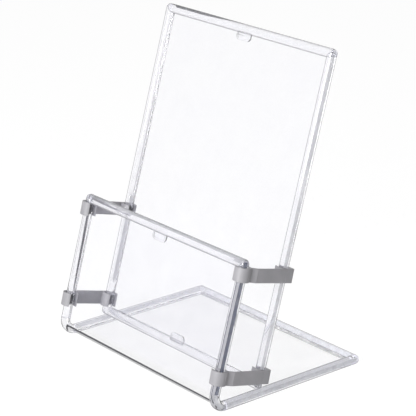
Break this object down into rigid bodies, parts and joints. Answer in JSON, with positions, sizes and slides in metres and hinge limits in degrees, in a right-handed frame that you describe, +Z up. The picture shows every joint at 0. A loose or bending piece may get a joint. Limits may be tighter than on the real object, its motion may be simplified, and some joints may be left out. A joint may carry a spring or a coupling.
{
  "type": "bible stand",
  "caption": "Clear plastic table-top bible stand: a leaning back panel, a lower front panel bent into a flat base, round edge rails, leaf tabs and grey snap clips joining the panels.",
  "frame": {"origin": "under the middle of the stand's box, on the plane that the base rails rest on", "axes": "+X to the right of someone facing the front panel, +Y to the rear, +Z up"},
  "size_m": [0.24, 0.1774, 0.3073],
  "materials": {
    "clear_sheet": "clear, polished",
    "clear_rail": "clear, polished",
    "grey_clip": "satin moulded grey"
  },
  "bodies": {
    "stand_frame": {"bent_sheet": "clear_sheet", "front_left_rail": "clear_rail", "front_right_rail": "clear_rail", "front_top_rail": "clear_rail", "front_top_tab": "clear_rail", "front_left_elbow": "clear_rail", "front_right_elbow": "clear_rail", "base_left_rail": "clear_rail", "base_right_rail": "clear_rail", "base_rear_rail": "clear_rail"},
    "back_panel": {"back_sheet": "clear_sheet", "back_left_rail": "clear_rail", "back_right_rail": "clear_rail", "back_top_rail": "clear_rail", "back_bottom_rail": "clear_rail", "back_top_tab": "clear_rail", "back_bottom_tab": "clear_rail"},
    "left_upper_clip": {"left_upper_clip": "grey_clip"},
    "right_upper_clip": {"right_upper_clip": "grey_clip"},
    "left_lower_clip": {"left_lower_clip": "grey_clip"},
    "right_lower_clip": {"right_lower_clip": "grey_clip"}
  },
  "joints": [
    {"name": "back_panel_slide", "type": "slide", "parent": "stand_frame", "child": "back_panel", "axis": [0, 0.2756, 0.9613], "range_m": [0, 0.03]},
    {"name": "left_upper_clip_slide", "type": "slide", "parent": "stand_frame", "child": "left_upper_clip", "axis": [0, 0.2756, 0.9613], "range_m": [-0.02, 0.0005]},
    {"name": "right_upper_clip_slide", "type": "slide", "parent": "stand_frame", "child": "right_upper_clip", "axis": [0, 0.2756, 0.9613], "range_m": [-0.02, 0]},
    {"name": "left_lower_clip_slide", "type": "slide", "parent": "back_panel", "child": "left_lower_clip", "axis": [0, 0.2756, 0.9613], "range_m": [-0.002, 0.02]},
    {"name": "right_lower_clip_slide", "type": "slide", "parent": "back_panel", "child": "right_lower_clip", "axis": [0, 0.2756, 0.9613], "range_m": [0, 0.02]}
  ]
}
